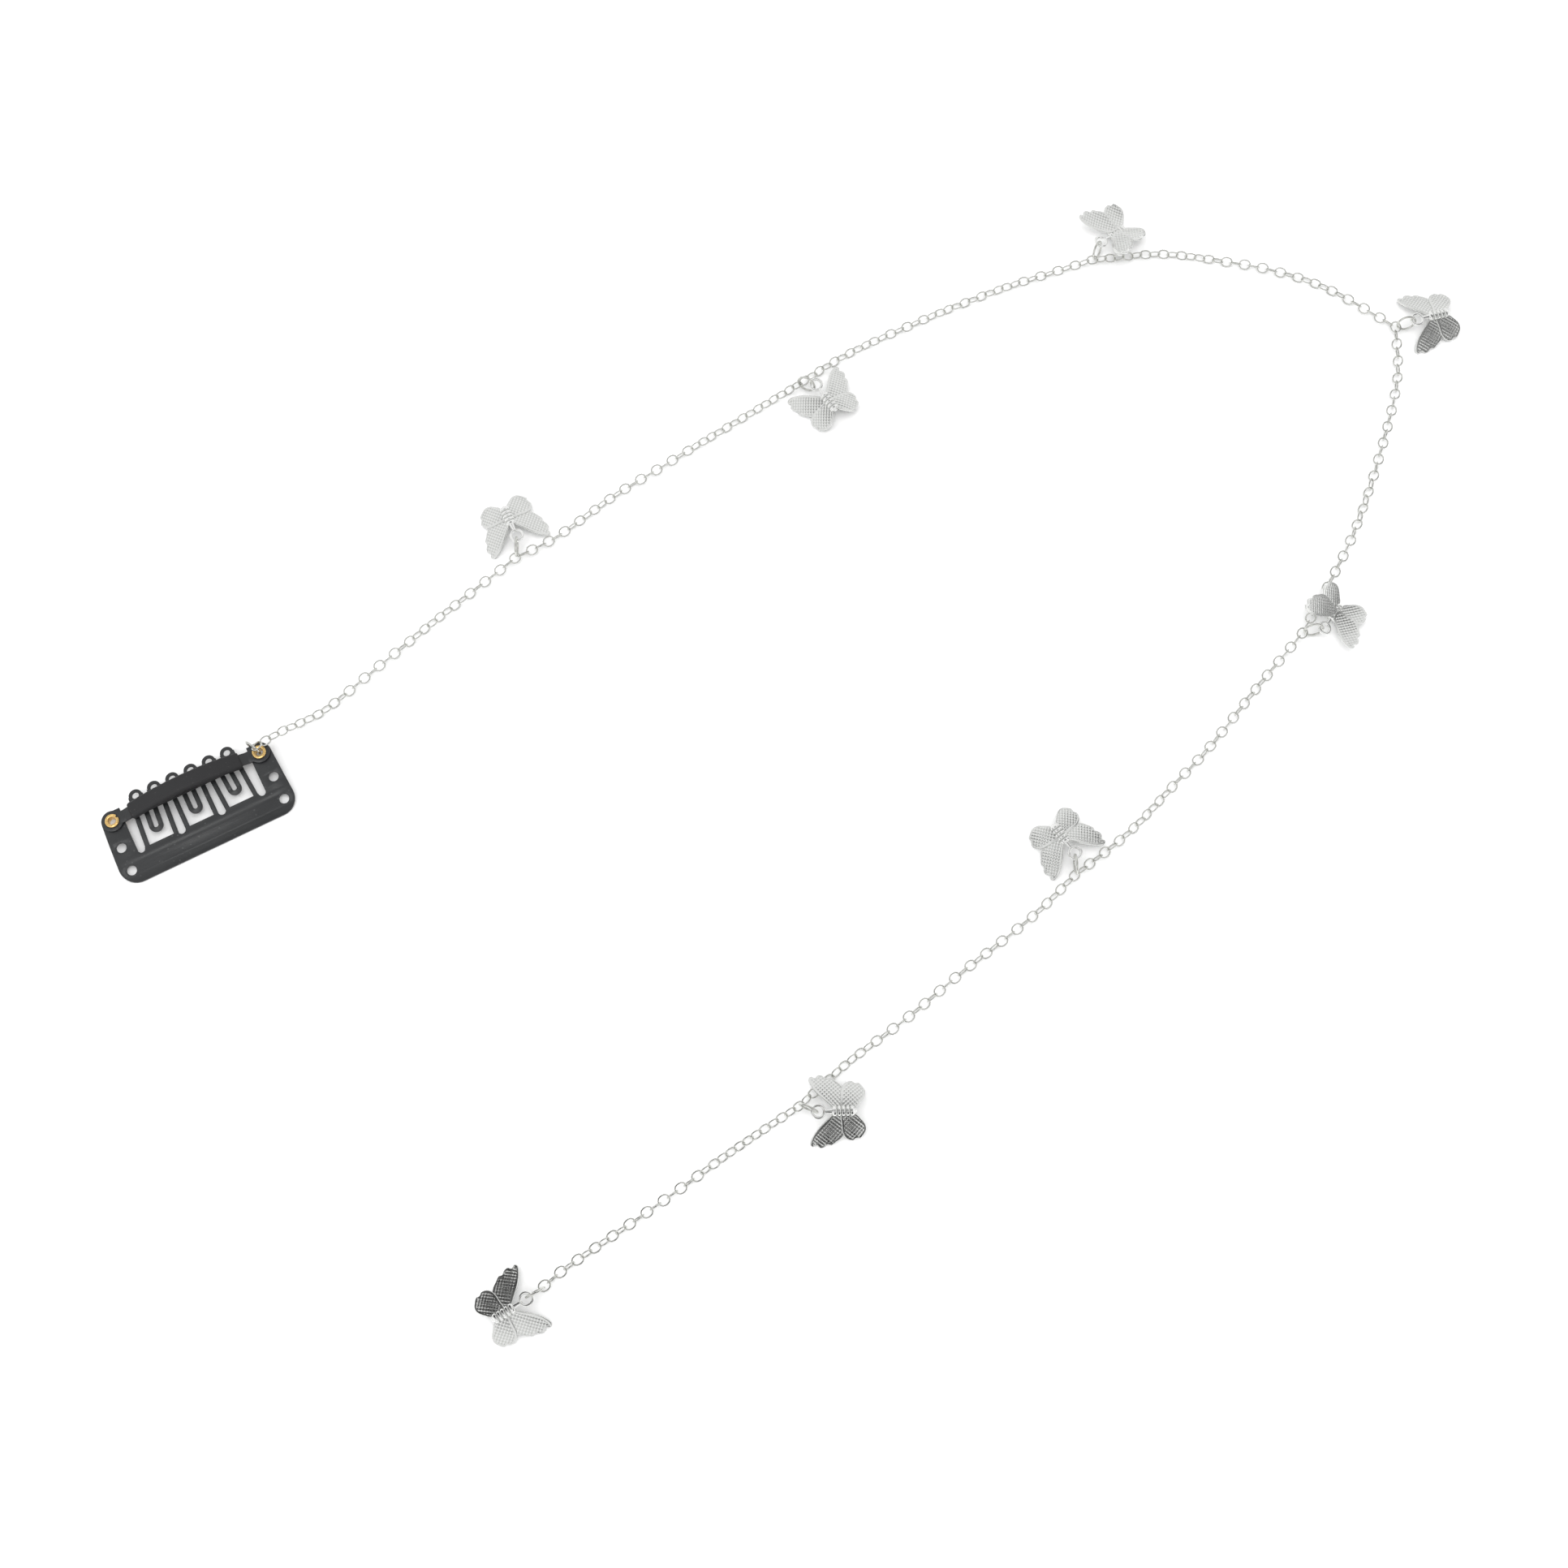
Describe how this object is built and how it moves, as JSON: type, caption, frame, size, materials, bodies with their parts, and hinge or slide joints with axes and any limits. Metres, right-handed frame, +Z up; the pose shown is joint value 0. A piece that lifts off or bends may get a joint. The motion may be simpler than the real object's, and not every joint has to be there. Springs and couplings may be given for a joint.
{
  "type": "hair chain",
  "caption": "Comb hair clip with a rubber-sleeved bar and a fine cable chain that carries small butterfly charms on jump rings.",
  "frame": {"origin": "midway between the clip plate's sewing holes, on the surface that the chain lies on", "axes": "+Z up from the surface, +X along the clip towards the end that the chain leaves, +Y from the clip's plain edge towards its comb loops"},
  "size_m": [0.257, 0.1362, 0.0057],
  "materials": {
    "black_steel": "semi-gloss black coating on spring steel",
    "black_rubber": "matte black rubber",
    "brass": "polished brass",
    "silver_plate": "bright silver plating"
  },
  "bodies": {
    "root": {"clip_plate": "black_steel", "clip_bar": "black_steel", "grip_sleeve": "black_rubber", "rivet_left": "brass", "rivet_right": "brass", "clip_ring": "silver_plate", "first_link": "silver_plate", "chain": "silver_plate", "charm_link_1": "silver_plate", "charm_link_2": "silver_plate", "charm_link_3": "silver_plate", "charm_link_4": "silver_plate", "charm_link_5": "silver_plate", "charm_link_6": "silver_plate", "charm_link_7": "silver_plate", "charm_link_8": "silver_plate", "charm_ring_1": "silver_plate", "charm_ring_2": "silver_plate", "charm_ring_3": "silver_plate", "charm_ring_4": "silver_plate", "charm_ring_5": "silver_plate", "charm_ring_6": "silver_plate", "charm_ring_7": "silver_plate", "charm_ring_8": "silver_plate", "butterfly_1": "silver_plate", "butterfly_2": "silver_plate", "butterfly_3": "silver_plate", "butterfly_4": "silver_plate", "butterfly_5": "silver_plate", "butterfly_6": "silver_plate", "butterfly_7": "silver_plate", "butterfly_8": "silver_plate"}
  },
  "joints": []
}
